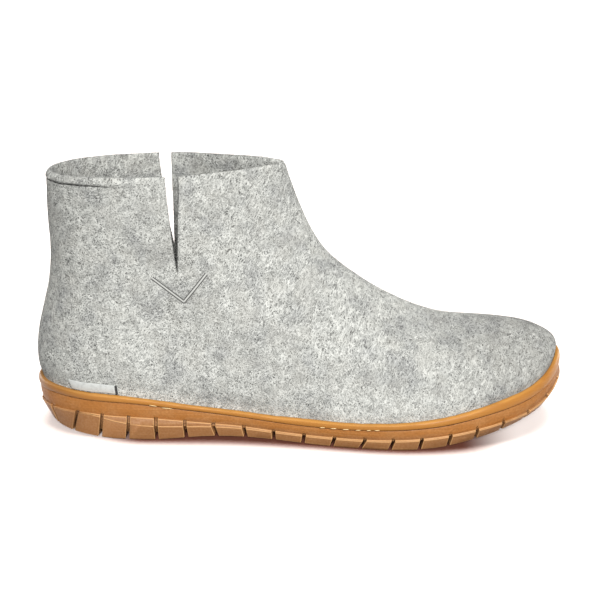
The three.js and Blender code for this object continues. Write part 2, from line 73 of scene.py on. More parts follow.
# Height of the top of the edge blocks along the sole: share of length, millimetres.
BLOCK_TOPS = (
    (0.0, 14.7), (0.10, 14.4), (0.14, 13.6), (0.22, 12.7), (0.28, 11.2), (0.34, 10.0), (0.39, 9.1),
    (0.45, 7.3), (0.51, 6.0), (0.57, 5.6), (0.67, 6.2), (0.72, 7.0), (0.78, 8.4), (0.83, 10.2),
    (0.89, 12.9), (0.93, 16.0), (0.97, 21.5), (1.0, 28.5),
)

# Height of the line that the mould leaves on the rear blocks: x, height. Metres and millimetres.
MOULD_LINE = ((-0.108, 12.2), (-0.1006, 10.6), (-0.0947, 9.5), (-0.087, 9.1), (-0.060, 9.0), (-0.046, 9.3))

# Hollows (-) and swells (+) in the felt: centre, radius, depth. Millimetres.
HOLLOWS = (
    ((-132, 0, 96), 34, -0.9),
    ((-104, -34, 74), 24, 0.7),
    ((-72, -36, 60), 26, -0.6),
    ((-100, 34, 78), 26, 0.6),
    ((-66, 34, 62), 26, -0.6),
    ((-20, -22, 92), 26, -0.7),
    ((-18, 22, 92), 26, -0.6),
    ((8, 0, 88), 22, -0.5),
    ((52, -26, 62), 30, 0.6),
    ((50, 22, 62), 30, 0.5),
    ((98, 8, 58), 26, 0.6),
    ((-24, -40, 40), 30, 0.5),
)

# Soft creases in the felt: two ends, width, depth. Millimetres.
CREASES = (
    ((-112, -30, 128), (-118, -27, 84), 5.0, -0.35),
    ((-120, -24, 92), (-128, -14, 60), 6.0, -0.35),
    ((-14, -20, 102), (22, -30, 78), 6.0, -0.35),
    ((-16, 18, 102), (18, 28, 78), 6.0, -0.35),
    ((30, -30, 66), (64, -38, 48), 7.0, -0.30),
    ((34, 26, 66), (66, 32, 48), 7.0, -0.30),
)

# Parts of the boot, from one x to another, where the felt changes its tone: painted shade darkens it towards
# the toe and towards the heel, and over the third range its strands stand out less towards the toe. Metres.
TOE_PAINTED_SHADE = (0.060, 0.130)
HEEL_PAINTED_SHADE = (-0.080, -0.135)
CALM_FELT = (-0.080, 0.020)

# Where painted shade darkens the strip towards the heel, and where the sole lifts off the floor at either
# end, so the painted contact shadow on the floor fades. Metres.
HEEL_STRIP_SHADE = (-0.095, -0.138)
HEEL_LIFT = (-0.118, -0.085)
TOE_LIFT = (0.086, 0.122)

# Painted shade in crevices of the sole and painted contact shadow on the floor by the sole: how far it looks
# for nearby surfaces, and the openness at which it is darkest and gone.
SOLE_CREVICE_SHADE = (0.0024, 0.15, 0.62)
FLOOR_CONTACT_SHADOW = (0.022, 0.42, 0.96)

# Seed of the loose fibres, and how far a fibre's root is sunk in the felt. Metres.
FIBRE_SEED = 11
FIBRE_SINK = 0.00008

# The seam: cells of its mesh along and across, how far back the inner one lies, and its profile over half its
# width: height in millimetres and how dark the painted shade in its grooves is.
SEAM_CELLS = (60, 10)
INNER_SEAM_SHIFT = -0.0045
SEAM_HEIGHT = ((0.0, 0.26), (0.45, 0.18), (0.70, 0.06), (1.0, 0.08))
SEAM_GROOVE_SHADE = ((0.30, 0.0), (0.50, 1.0), (0.85, 1.0), (1.0, 0.5))

# End stitches of the tab: number, height of the uppermost edge and length of the row, half sizes. Metres.
STITCHES = 7
STITCH_TOP, STITCH_ROW = 0.0311, 0.0052
STITCH_HALF = (0.00075, 0.00028, 0.00052)
STITCH_SLANT = 0.00022

# Specks of dried glue on the outer side: x and length. Millimetres.
GLUE_SPECKS = (
    (-79.0, 4.4), (-71.6, 6.0), (12.0, 3.0), (18.0, 3.6), (24.5, 4.0), (31.0, 3.0), (36.5, 2.4), (41.0, 3.0),
)


# ---------------------------------------------------------------- settings


class WoolSettings(PropertyGroup):
    light: FloatVectorProperty(
        name="Light wool", description="Colour of the pale fibres", subtype="COLOR", size=3,
        min=0, max=1, default=(0.665, 0.668, 0.625))
    middle: FloatVectorProperty(
        name="Middle wool", description="Colour of most of the felt", subtype="COLOR", size=3,
        min=0, max=1, default=(0.40, 0.404, 0.378))
    dark: FloatVectorProperty(
        name="Dark wool", description="Colour of the dark fibres", subtype="COLOR", size=3,
        min=0, max=1, default=(0.10, 0.10, 0.094))
    cloud: FloatVectorProperty(
        name="Clouds", description="Colour of the bluish clouds in the felt", subtype="COLOR", size=3,
        min=0, max=1, default=(0.27, 0.275, 0.285))
    # Painted shade: the brownish grey that the felt is mixed towards at the toe.
    painted_toe_shade: FloatVectorProperty(
        name="Toe shade", description="Browner wool at the toe", subtype="COLOR", size=3,
        min=0, max=1, default=(0.21, 0.195, 0.175))
    strand_length: FloatProperty(
        name="Strand length", description="Length of a strand of fibres in the felt", unit="LENGTH",
        min=0.0005, max=0.02, default=0.0060)
    strand_spacing: FloatProperty(
        name="Strand spacing", description="Distance between strands of one layer", unit="LENGTH",
        min=0.0002, max=0.005, default=0.00115)
    unevenness: FloatProperty(
        name="Unevenness", description="How far the felt waves in and out", unit="LENGTH",
        min=0, max=0.003, default=0.00035)
    loose: IntProperty(
        name="Loose fibres", description="Number of fibres that stand off the felt",
        min=0, max=30000, default=16000)
    loose_length: FloatProperty(
        name="Loose fibre length", description="Length of a loose fibre", unit="LENGTH",
        min=0.0005, max=0.01, default=0.0026)


class RubberSettings(PropertyGroup):
    band: FloatVectorProperty(
        name="Side band", description="Colour of the sole above the blocks", subtype="COLOR", size=3,
        min=0, max=1, default=(0.352, 0.135, 0.028))
    block: FloatVectorProperty(
        name="Blocks", description="Colour of the tread blocks", subtype="COLOR", size=3,
        min=0, max=1, default=(0.305, 0.142, 0.056))
    # Lighter rounded block edges: partly rubbed rubber, partly a painted highlight where the edges catch the
    # light. The same colour tints the flow streaks and the dust.
    edge: FloatVectorProperty(
        name="Edges", description="Colour of the rubbed edges", subtype="COLOR", size=3,
        min=0, max=1, default=(0.68, 0.38, 0.16))
    strip: FloatVectorProperty(
        name="Strip", description="Colour of the strip round the foot", subtype="COLOR", size=3,
        min=0, max=1, default=(0.405, 0.166, 0.030))
    # Painted highlight: the lighter colour along the strip's upper edge, where it catches the light; the flow
    # streaks use it too.
    streak_and_lip_highlight: FloatVectorProperty(
        name="Strip lip", description="Colour of the upper edge of the strip", subtype="COLOR", size=3,
        min=0, max=1, default=(0.56, 0.26, 0.055))
    round_over: FloatProperty(
        name="Rounding", description="Rounding of the block edges", unit="LENGTH",
        min=0, max=0.001, default=0.00042)
    mould_line: FloatProperty(
        name="Mould line", description="Width of the line across the rear blocks", unit="LENGTH",
        min=0, max=0.002, default=0.0006)


class ThreadSettings(PropertyGroup):
    seam_width: FloatProperty(
        name="Seam width", description="Width of the pointed seam below a slit", unit="LENGTH",
        min=0.0005, max=0.004, default=0.0021)
    seam_points: FloatVectorProperty(
        name="Seam points", description="x of the two ends and the corner of the seam", unit="LENGTH",
        size=3, default=(-0.0785, -0.0617, -0.0496))
    seam_heights: FloatVectorProperty(
        name="Seam heights", description="z of the two ends and the corner of the seam", unit="LENGTH",
        size=3, default=(0.0905, 0.0777, 0.0930))
    tape: FloatVectorProperty(
        name="Tape", description="Colour of the woven tab", subtype="COLOR", size=3,
        min=0, max=1, default=(0.69, 0.705, 0.675))
    dark_thread: FloatVectorProperty(
        name="Dark thread", description="Colour of the end stitches of the tab", subtype="COLOR", size=3,
        min=0, max=1, default=(0.03, 0.03, 0.03))


class StudioSettings(PropertyGroup):
    floor: FloatVectorProperty(
        name="Floor", description="Colour of the floor", subtype="COLOR", size=3,
        min=0, max=1, default=(0.98, 0.90, 0.86))
    contact: FloatVectorProperty(
        name="Contact shade", description="Colour of the floor close to the sole", subtype="COLOR", size=3,
        min=0, max=1, default=(0.12, 0.04, 0.025))
    sky: FloatProperty(
        name="Surrounding light", description="Strength of the light from all round",
        min=0, max=5, default=0.085)
    key: FloatProperty(
        name="Main light", description="Strength of the soft light on the boot, from the front",
        min=0, max=20, default=4.7)
    top: FloatProperty(
        name="Top light", description="Strength of the soft light on the boot, from overhead",
        min=0, max=20, default=0.6)
    back: FloatProperty(
        name="Back light", description="Strength of each of the two soft lights behind the boot",
        min=0, max=20, default=1.9)
    floor_light: FloatProperty(
        name="Floor light", description="Strength of the two lights that whiten the floor",
        min=0, max=20, default=3.0)
    elevation: FloatProperty(
        name="View height", description="Angle of the camera above the floor", subtype="ANGLE",
        min=0, max=1.5, default=math.radians(15))
    distance: FloatProperty(
        name="View distance", description="From the camera to the middle of the boot", unit="LENGTH",
        min=0.3, max=5, default=1.100)
    middle: FloatProperty(
        name="View middle", description="Height of the middle of the view", unit="LENGTH",
        min=0, max=1, default=0.0693)
    lens: FloatProperty(
        name="Lens", description="Focal length on a 36 mm sensor, millimetres",
        min=20, max=300, default=120.1)


# ---------------------------------------------------------------- helpers


def merged_copy(node):
    """A bmesh of a CAD node's shape with its loose triangles joined."""
    bm = bmesh.new()
    bm.from_mesh(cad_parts[node].data)
    bmesh.ops.remove_doubles(bm, verts=bm.verts, dist=1e-6)
    return bm


def join_flat(bm, degrees):
    """Joins triangles that lie within some degrees of each other."""
    bmesh.ops.join_triangles(
        bm, faces=bm.faces, angle_face_threshold=math.radians(degrees),
        angle_shape_threshold=math.radians(70))


def crease_sharp(bm, degrees, amount, above=-1.0):
    """Creases the edges that turn more than some degrees, above a height."""
    layer = bm.edges.layers.float.new("crease_edge")
    for edge in bm.edges:
        if edge.calc_face_angle(0) > math.radians(degrees) and min(v.co.z for v in edge.verts) > above:
            edge[layer] = amount


def shown(bm, name, material, replaces=None):
    """Makes an object of a bmesh, riding on the body and material."""
    mesh = bpy.data.meshes.new(name)
    bm.to_mesh(mesh)
    bm.free()
    piece = bpy.data.objects.new(name, mesh)
    bpy.context.scene.collection.objects.link(piece)
    piece.data.materials.append(material)
    piece.data.shade_smooth()
    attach(piece, "root")
    if replaces:
        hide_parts(replaces)
    return piece


def subdivide(piece, levels):
    """Subdivides a piece and keeps the result in its mesh."""
    modifier = piece.modifiers.new("Subdivision", "SUBSURF")
    modifier.levels = modifier.render_levels = levels
    apply_modifiers(piece)


def apply_modifiers(piece):
    depsgraph = bpy.context.evaluated_depsgraph_get()
    mesh = bpy.data.meshes.new_from_object(piece.evaluated_get(depsgraph))
    piece.modifiers.clear()
    old, piece.data = piece.data, mesh
    bpy.data.meshes.remove(old)


def corners_of(mesh):
    co = np.empty(len(mesh.vertices) * 3)
    mesh.vertices.foreach_get("co", co)
    no = np.empty(len(mesh.vertices) * 3)
    mesh.vertices.foreach_get("normal", no)
    return co.reshape(-1, 3), no.reshape(-1, 3)


def put_corners(mesh, co):
    mesh.vertices.foreach_set("co", co.ravel())
    mesh.update()


def put_attribute(mesh, name, values):
    layer = mesh.attributes.new(name, "FLOAT", "POINT")
    layer.data.foreach_set("value", np.ascontiguousarray(values, dtype=np.float32))


def ease(value, low, high):
    t = np.clip((value - low) / (high - low), 0, 1)
    return t * t * (3 - 2 * t)


def waves(points, size, seed):
    """Smooth noise from -1 to 1 at points, with bumps of a given size."""
    shift = Vector((seed * 7.3, seed * 3.1, seed * 5.7))
    return np.array([noise.noise(Vector(p) / size + shift) for p in points])


def rim_line(node, top):
    """The height of the highest or lowest edge of a node as a function of x."""
    co, _ = corners_of(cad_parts[node].data)
    xs = np.linspace(co[:, 0].min(), co[:, 0].max(), 60)
    half = (xs[1] - xs[0]) * 1.2
    pick = np.max if top else np.min
    zs = [pick(co[np.abs(co[:, 0] - x) < half, 2]) for x in xs]
    return lambda x: np.interp(x, xs, zs)


# ---------------------------------------------------------------- materials


def feed(tree, socket, value):
    """Links an input to another node, or sets its value."""
    if isinstance(value, bpy.types.NodeSocket):
        tree.links.new(value, socket)
    else:
        socket.default_value = value


def add(tree, kind, inputs=None, **settings):
    """A new node with its settings made and its inputs fed."""
    made = tree.nodes.new(kind)
    for key, value in settings.items():
        setattr(made, key, value)
    for key, value in (inputs or {}).items():
        feed(tree, made.inputs[key], value)
    return made


def math_of(tree, operation, a, b=0.5):
    return add(tree, "ShaderNodeMath", {0: a, 1: b}, operation=operation).outputs[0]


def ranged(tree, value, low, high, out_low=0.0, out_high=1.0):
    """A smooth step of a value, from one output to another."""
    made = add(tree, "ShaderNodeMapRange", {
        "Value": value, "From Min": low, "From Max": high, "To Min": out_low, "To Max": out_high})
    made.interpolation_type = "SMOOTHSTEP"
    return made.outputs["Result"]


def mixed(tree, factor, a, b):
    """A mix of two colours."""
    made = add(tree, "ShaderNodeMix", {0: factor}, data_type="RGBA")
    for index, colour in ((6, a), (7, b)):
        linked = isinstance(colour, bpy.types.NodeSocket)
        feed(tree, made.inputs[index], colour if linked else (*colour[:3], 1))
    return made.outputs[2]


def blended(tree, factor, a, b):
    """A mix of two values."""
    return add(tree, "ShaderNodeMix", {0: factor, 2: a, 3: b}).outputs[0]


def ramped(tree, value, stops):
    """A colour ramp through (place, colour) stops."""
    made = add(tree, "ShaderNodeValToRGB", {0: value})
    points = made.color_ramp.elements
    while len(points) < len(stops):
        points.new(0.5)
    for point, (place, colour) in zip(points, stops):
        point.position, point.color = place, (*colour, 1)
    return made.outputs["Color"]


def new_group(name, inputs, outputs):
    tree = bpy.data.node_groups.new(name, "ShaderNodeTree")
    for label, kind, default in inputs:
        socket = tree.interface.new_socket(name=label, in_out="INPUT", socket_type=kind)
        if default is not None:
            socket.default_value = default
    for label, kind in outputs:
        tree.interface.new_socket(name=label, in_out="OUTPUT", socket_type=kind)
    return tree, tree.nodes.new("NodeGroupInput"), tree.nodes.new("NodeGroupOutput")


def placed(tree, group, inputs):
    return add(tree, "ShaderNodeGroup", inputs, node_tree=group)


def noise_at(tree, vector, scale, detail=2.0, roughness=0.5):
    return add(tree, "ShaderNodeTexNoise", {
        "Vector": vector, "Scale": scale, "Detail": detail, "Roughness": roughness})


# Layers of strands in the felt, the lowest first: turn of the layer, tone from dark 0 to pale 1.
STRANDS = (
    ((0.2, 0.9, 0.4), 0.30), ((1.3, 0.3, 1.9), 0.75), ((2.2, 1.5, 0.8), 0.10), ((0.7, 2.3, 2.7), 0.95),
    ((2.8, 0.6, 1.2), 0.45), ((1.8, 2.0, 3.0), 0.05), ((0.9, 1.2, 0.1), 0.85), ((2.5, 2.7, 1.6), 0.60),
)


def wool_group():
    """Felted strands lying over each other in all directions: their tone and their height."""
    name = "Wool Strands"
    if name in bpy.data.node_groups:
        return bpy.data.node_groups[name]
    tree, inp, out = new_group(
        name,
        (("Vector", "NodeSocketVector", None), ("Strand Length", "NodeSocketFloat", 0.006),
         ("Strand Spacing", "NodeSocketFloat", 0.0016), ("Curl", "NodeSocketFloat", 0.0020)),
        (("Tone", "NodeSocketFloat"), ("Height", "NodeSocketFloat")))
    bend = noise_at(tree, inp.outputs["Vector"], 260.0, 1.0)
    centred = add(tree, "ShaderNodeVectorMath", {0: bend.outputs["Color"], 1: (0.5, 0.5, 0.5)},
                  operation="SUBTRACT").outputs[0]
    curl = add(tree, "ShaderNodeVectorMath", {0: centred, "Scale": inp.outputs["Curl"]},
               operation="SCALE").outputs[0]
    spot = add(tree, "ShaderNodeVectorMath", {0: inp.outputs["Vector"], 1: curl},
               operation="ADD").outputs[0]
    along = math_of(tree, "DIVIDE", 1.0, inp.outputs["Strand Length"])
    across = math_of(tree, "DIVIDE", 1.0, inp.outputs["Strand Spacing"])
    stretch = add(tree, "ShaderNodeCombineXYZ", {0: along, 1: across, 2: across}).outputs[0]
    vary = add(tree, "ShaderNodeSeparateXYZ", {0: centred}).outputs
    tone, height = 0.5, 0.0
    for number, (turn, own) in enumerate(STRANDS):
        turned = add(tree, "ShaderNodeVectorRotate", {"Vector": spot, "Rotation": turn},
                     rotation_type="EULER_XYZ").outputs[0]
        drawn = add(tree, "ShaderNodeVectorMath", {0: turned, 1: stretch},
                    operation="MULTIPLY").outputs[0]
        line = math_of(tree, "SUBTRACT", noise_at(tree, drawn, 1.0, 0.0).outputs["Fac"], 0.5)
        mask = ranged(tree, math_of(tree, "ABSOLUTE", line), 0.075, 0.03)
        local = math_of(tree, "ADD", math_of(tree, "MULTIPLY", vary[number % 3], 1.1), own)
        tone = blended(tree, mask, tone, local)
        height = blended(tree, math_of(tree, "MULTIPLY", mask, 0.6), height, 1.0)
    tree.links.new(tone, out.inputs["Tone"])
    tree.links.new(height, out.inputs["Height"])
    return tree


def cloud_group():
    """Uneven carding of the wool: broad clouds, and lumps of a few millimetres."""
    name = "Wool Clouds"
    if name in bpy.data.node_groups:
        return bpy.data.node_groups[name]
    tree, inp, out = new_group(
        name,
        (("Vector", "NodeSocketVector", None), ("Cloud Size", "NodeSocketFloat", 0.016),
         ("Lump Size", "NodeSocketFloat", 0.004)),
        (("Cloud", "NodeSocketFloat"), ("Lump", "NodeSocketFloat"), ("Tint", "NodeSocketFloat")))
    clouds = math_of(tree, "DIVIDE", 1.0, inp.outputs["Cloud Size"])
    lumps = math_of(tree, "DIVIDE", 1.0, inp.outputs["Lump Size"])
    broad = noise_at(tree, inp.outputs["Vector"], clouds, 2.0, 0.55)
    small = noise_at(tree, inp.outputs["Vector"], lumps, 2.0, 0.6)
    shifted = add(tree, "ShaderNodeVectorMath", {0: inp.outputs["Vector"], 1: (0.31, 0.17, 0.53)},
                  operation="ADD").outputs[0]
    tint = noise_at(tree, shifted, math_of(tree, "DIVIDE", 1.4, inp.outputs["Cloud Size"]), 1.0)
    tree.links.new(ranged(tree, broad.outputs["Fac"], 0.44, 0.72), out.inputs["Cloud"])
    tree.links.new(ranged(tree, small.outputs["Fac"], 0.30, 0.70), out.inputs["Lump"])
    tree.links.new(ranged(tree, tint.outputs["Fac"], 0.40, 0.70), out.inputs["Tint"])
    return tree


def grain_group():
    """Moulded rubber: a fine grain, faint flow streaks and dusty patches."""
    name = "Rubber Grain"
    if name in bpy.data.node_groups:
        return bpy.data.node_groups[name]
    tree, inp, out = new_group(
        name,
        (("Vector", "NodeSocketVector", None), ("Grain Size", "NodeSocketFloat", 0.0007),
         ("Streak Length", "NodeSocketFloat", 0.03)),
        (("Grain", "NodeSocketFloat"), ("Streak", "NodeSocketFloat"), ("Dust", "NodeSocketFloat")))
    grains = math_of(tree, "DIVIDE", 1.0, inp.outputs["Grain Size"])
    grain = noise_at(tree, inp.outputs["Vector"], grains)
    along = math_of(tree, "DIVIDE", 1.0, inp.outputs["Streak Length"])
    stretch = add(tree, "ShaderNodeCombineXYZ", {0: along, 1: along, 2: 1300.0}).outputs[0]
    drawn = add(tree, "ShaderNodeVectorMath", {0: inp.outputs["Vector"], 1: stretch},
                operation="MULTIPLY").outputs[0]
    streak = noise_at(tree, drawn, 1.0)
    dust = noise_at(tree, inp.outputs["Vector"], 90.0, 3.0, 0.6)
    tree.links.new(grain.outputs["Fac"], out.inputs["Grain"])
    tree.links.new(ranged(tree, streak.outputs["Fac"], 0.45, 0.75), out.inputs["Streak"])
    tree.links.new(ranged(tree, dust.outputs["Fac"], 0.42, 0.72), out.inputs["Dust"])
    return tree


def material_start(name):
    """A new material with its tree, shader and place, or the one already made, with None for the rest."""
    material = bpy.data.materials.get(name)
    if material:
        return material, None, None, None
    material = bpy.data.materials.new(name)
    material.use_nodes = True
    tree = material.node_tree
    shader = tree.nodes["Principled BSDF"]
    spot = tree.nodes.new("ShaderNodeTexCoord").outputs["Object"]
    return material, tree, shader, spot


def attribute(tree, name):
    return add(tree, "ShaderNodeAttribute", attribute_name=name, attribute_type="GEOMETRY").outputs["Fac"]


def crevice_shade(tree, reach, low, high):
    """Mask of painted shade: from 0 in the open to 1 where other surfaces stand close by."""
    near = add(tree, "ShaderNodeAmbientOcclusion", {"Distance": reach}, samples=8).outputs["AO"]
    return ranged(tree, near, high, low)


def bumped(tree, shader, height, distance, strength):
    """Gives a shader a bump of a height."""
    bump = add(tree, "ShaderNodeBump", {"Height": height, "Distance": distance, "Strength": strength})
    tree.links.new(bump.outputs["Normal"], shader.inputs["Normal"])


def felt_material(name, wool, depth=1.0, contrast=1.0):
    """Grey melange felt; depth darkens it, contrast sets how much the strands stand out."""
    material, tree, shader, spot = material_start(name)
    if tree is None:
        return material
    strands = placed(tree, wool_group(), {
        "Vector": spot, "Strand Length": wool.strand_length, "Strand Spacing": wool.strand_spacing})
    clouds = placed(tree, cloud_group(), {"Vector": spot})
    tone = lambda colour: tuple(c * depth for c in colour)
    x, _, z = add(tree, "ShaderNodeSeparateXYZ", {0: spot}).outputs
    inside = attribute(tree, "inside")
    plain = math_of(tree, "MULTIPLY", ranged(tree, x, *CALM_FELT, 1.0, 0.84), contrast)
    near = blended(tree, plain, 0.5, strands.outputs["Tone"])
    near = math_of(tree, "ADD", near, math_of(tree, "MULTIPLY", clouds.outputs["Lump"], 0.18))
    near = math_of(tree, "SUBTRACT", near, math_of(tree, "MULTIPLY", clouds.outputs["Cloud"], 0.16))
    # Painted shade: the tone is lowered towards the toe, towards the heel and on the inside of the boot.
    for shade in (ranged(tree, x, *TOE_PAINTED_SHADE, 0.0, 0.12), ranged(tree, x, *HEEL_PAINTED_SHADE, 0.0, 0.08),
                  math_of(tree, "MULTIPLY", inside, 0.17)):
        near = math_of(tree, "SUBTRACT", near, shade)
    base = ramped(tree, near, ((0.05, tone(wool.dark)), (0.5, tone(wool.middle)), (0.95, tone(wool.light))))
    base = mixed(tree, math_of(tree, "MULTIPLY", clouds.outputs["Cloud"], 0.26), base, tone(wool.cloud))
    warm = tuple(c * w for c, w in zip(tone(wool.middle), (1.08, 1.04, 1.0)))
    base = mixed(tree, math_of(tree, "MULTIPLY", clouds.outputs["Tint"], 0.25), base, warm)
    # Painted shade: the inside is mixed towards dark wool, and the toe towards a brownish grey.
    base = mixed(tree, math_of(tree, "MULTIPLY", inside, 0.10), base, tone(wool.dark))
    base = mixed(tree, ranged(tree, x, *TOE_PAINTED_SHADE, 0.0, 0.20), base, tone(wool.painted_toe_shade))
    # Painted shade: a dark line along the groove under the rolled cuff at the back.
    wander = math_of(tree, "MULTIPLY", noise_at(tree, spot, 60.0, 1.0).outputs["Fac"], 0.0016)
    level = math_of(tree, "ADD", math_of(tree, "MULTIPLY", x, CUFF_SLOPE), CUFF_HEIGHT - 0.0008)
    off = math_of(tree, "SUBTRACT", z, math_of(tree, "ADD", level, wander))
    line = ranged(tree, math_of(tree, "ABSOLUTE", off), 0.00062, 0.00020)
    line = math_of(tree, "MULTIPLY", line, ranged(tree, clouds.outputs["Lump"], 0.0, 0.8, 0.55, 1.0))
    line = math_of(tree, "MULTIPLY", line, attribute(tree, "cuff"))
    base = mixed(tree, line, base, tone(tuple(c * 0.35 for c in wool.dark)))
    tree.links.new(base, shader.inputs["Base Color"])
    shader.inputs["Roughness"].default_value = 0.95
    shader.inputs["Specular IOR Level"].default_value = 0.15
    shader.inputs["Sheen Weight"].default_value = 0.04
    shader.inputs["Sheen Roughness"].default_value = 0.5
    lumps = math_of(tree, "MULTIPLY", clouds.outputs["Lump"], 0.5)
    nap = math_of(tree, "ADD", strands.outputs["Height"], lumps)
    nap = math_of(tree, "SUBTRACT", nap, math_of(tree, "MULTIPLY", line, 1.5))
    bumped(tree, shader, nap, 0.0004, 0.8)
    return material


def loose_material(wool):
    material, tree, shader, _ = material_start("loose_wool")
    if tree is None:
        return material
    tree.links.new(mixed(tree, attribute(tree, "strand"), wool.dark, wool.light), shader.inputs["Base Color"])
    shader.inputs["Roughness"].default_value = 0.8
    shader.inputs["Specular IOR Level"].default_value = 0.2
    return material


def sole_material(rubber):
    material, tree, shader, spot = material_start("moulded_rubber")
    if tree is None:
        return material
    grain = placed(tree, grain_group(), {"Vector": spot, "Grain Size": 0.0011})
    block = attribute(tree, "block")
    base = mixed(tree, block, rubber.band, rubber.block)
    base = mixed(tree, math_of(tree, "MULTIPLY", grain.outputs["Streak"], 0.16), base, rubber.edge)
    pale = tuple(0.6 * a + 0.4 * b for a, b in zip(rubber.block, rubber.edge))
    base = mixed(tree, math_of(tree, "MULTIPLY", grain.outputs["Dust"], 0.30), base, pale)
    fine = ranged(tree, grain.outputs["Grain"], 0.35, 0.65)
    base = mixed(tree, math_of(tree, "MULTIPLY", fine, 0.38), base, tuple(c * 0.70 for c in rubber.band))
    # The rounded block edges are painted lighter: rubbed rubber and a painted highlight.
    base = mixed(tree, math_of(tree, "MULTIPLY", attribute(tree, "edge"), block), base, rubber.edge)
    # Painted shade in the grooves and crevices between the blocks.
    base = mixed(tree, crevice_shade(tree, *SOLE_CREVICE_SHADE), base, tuple(c * 0.12 for c in rubber.block))
    tree.links.new(base, shader.inputs["Base Color"])
    tree.links.new(ranged(tree, grain.outputs["Grain"], 0.3, 0.7, 0.48, 0.62), shader.inputs["Roughness"])
    shader.inputs["Specular IOR Level"].default_value = 0.3
    bumped(tree, shader, grain.outputs["Grain"], 0.00014, 0.7)
    return material


def strip_material(rubber):
    material, tree, shader, spot = material_start("amber_rubber")
    if tree is None:
        return material
    grain = placed(tree, grain_group(), {"Vector": spot, "Grain Size": 0.0012})
    streak = math_of(tree, "MULTIPLY", grain.outputs["Streak"], 0.25)
    base = mixed(tree, streak, rubber.strip, rubber.streak_and_lip_highlight)
    # Painted highlight along the upper edge of the strip.
    base = mixed(tree, math_of(tree, "MULTIPLY", attribute(tree, "lip"), 0.9), base, rubber.streak_and_lip_highlight)
    base = mixed(tree, math_of(tree, "MULTIPLY", attribute(tree, "foot"), 0.6), base, rubber.band)
    x = add(tree, "ShaderNodeSeparateXYZ", {0: spot}).outputs["X"]
    # Painted shade: the strip is darkened towards the heel.
    shade = tuple(c * 0.45 for c in rubber.block)
    base = mixed(tree, ranged(tree, x, *HEEL_STRIP_SHADE, 0.0, 0.45), base, shade)
    tree.links.new(base, shader.inputs["Base Color"])
    tree.links.new(ranged(tree, grain.outputs["Dust"], 0.0, 1.0, 0.46, 0.58), shader.inputs["Roughness"])
    shader.inputs["Specular IOR Level"].default_value = 0.32
    bumped(tree, shader, grain.outputs["Grain"], 0.00012, 0.5)
    return material


def thread_material(name, colour, groove, twist=900.0):
    """Thread with a fine twist; the groove attribute paints shade into the grooves at its sides."""
    material, tree, shader, spot = material_start(name)
    if tree is None:
        return material
    ply = add(tree, "ShaderNodeTexWave", {
        "Vector": spot, "Scale": twist, "Distortion": 1.5, "Detail": 1.0}, bands_direction="DIAGONAL")
    twisted = math_of(tree, "MULTIPLY", ply.outputs["Fac"], 0.35)
    base = mixed(tree, twisted, colour, tuple(c * 0.6 for c in colour))
    # Painted shade in the grooves at the thread's sides.
    base = mixed(tree, attribute(tree, "groove"), base, groove)
    tree.links.new(base, shader.inputs["Base Color"])
    shader.inputs["Roughness"].default_value = 0.75
    bumped(tree, shader, ply.outputs["Fac"], 0.00008, 0.6)
    return material


def tape_material(thread):
    material, tree, shader, spot = material_start("woven_tape")
    if tree is None:
        return material
    threads = {"Vector": spot, "Scale": 620.0, "Distortion": 0.4, "Detail": 0.0}
    warp = add(tree, "ShaderNodeTexWave", threads, bands_direction="X").outputs["Fac"]
    weft = add(tree, "ShaderNodeTexWave", threads, bands_direction="Z").outputs["Fac"]
    weave = math_of(tree, "MULTIPLY", warp, weft)
    base = mixed(tree, weave, tuple(c * 0.78 for c in thread.tape), thread.tape)
    soil = noise_at(tree, spot, 520.0, 3.0, 0.65).outputs["Fac"]
    base = mixed(tree, ranged(tree, soil, 0.44, 0.66, 0.0, 0.40), base, tuple(c * 0.55 for c in thread.tape))
    tree.links.new(base, shader.inputs["Base Color"])
    shader.inputs["Roughness"].default_value = 0.7
    bumped(tree, shader, weave, 0.00008, 0.7)
    return material


def glue_material():
    material, tree, shader, spot = material_start("dried_glue")
    if tree is None:
        return material
    cloud = noise_at(tree, spot, 700.0, 2.0).outputs["Fac"]
    tree.links.new(mixed(tree, cloud, (0.66, 0.42, 0.15), (0.85, 0.66, 0.36)), shader.inputs["Base Color"])
    shader.inputs["Roughness"].default_value = 0.35
    bumped(tree, shader, cloud, 0.0001, 0.5)
    return material


def floor_material(studio):
    material, tree, shader, spot = material_start("studio_floor")
    if tree is None:
        return material
    speck = noise_at(tree, spot, 30.0, 2.0).outputs["Fac"]
    near = tuple(c * 0.995 for c in studio.floor)
    base = mixed(tree, speck, near, studio.floor)
    along = add(tree, "ShaderNodeSeparateXYZ", {0: spot}).outputs["X"]
    # Painted contact shadow: the floor close to the sole is mixed towards the contact colour, less where the
    # sole lifts off at heel and toe.
    treads = math_of(tree, "MULTIPLY", ranged(tree, along, *HEEL_LIFT, 0.35, 1.0),
                     ranged(tree, along, *TOE_LIFT, 1.0, 0.12))
    close = math_of(tree, "MULTIPLY", crevice_shade(tree, *FLOOR_CONTACT_SHADOW), treads)
    base = mixed(tree, close, base, studio.contact)
    tree.links.new(base, shader.inputs["Base Color"])
    shader.inputs["Roughness"].default_value = 0.9
    shader.inputs["Specular IOR Level"].default_value = 0.1
    return material


# ---------------------------------------------------------------- pieces


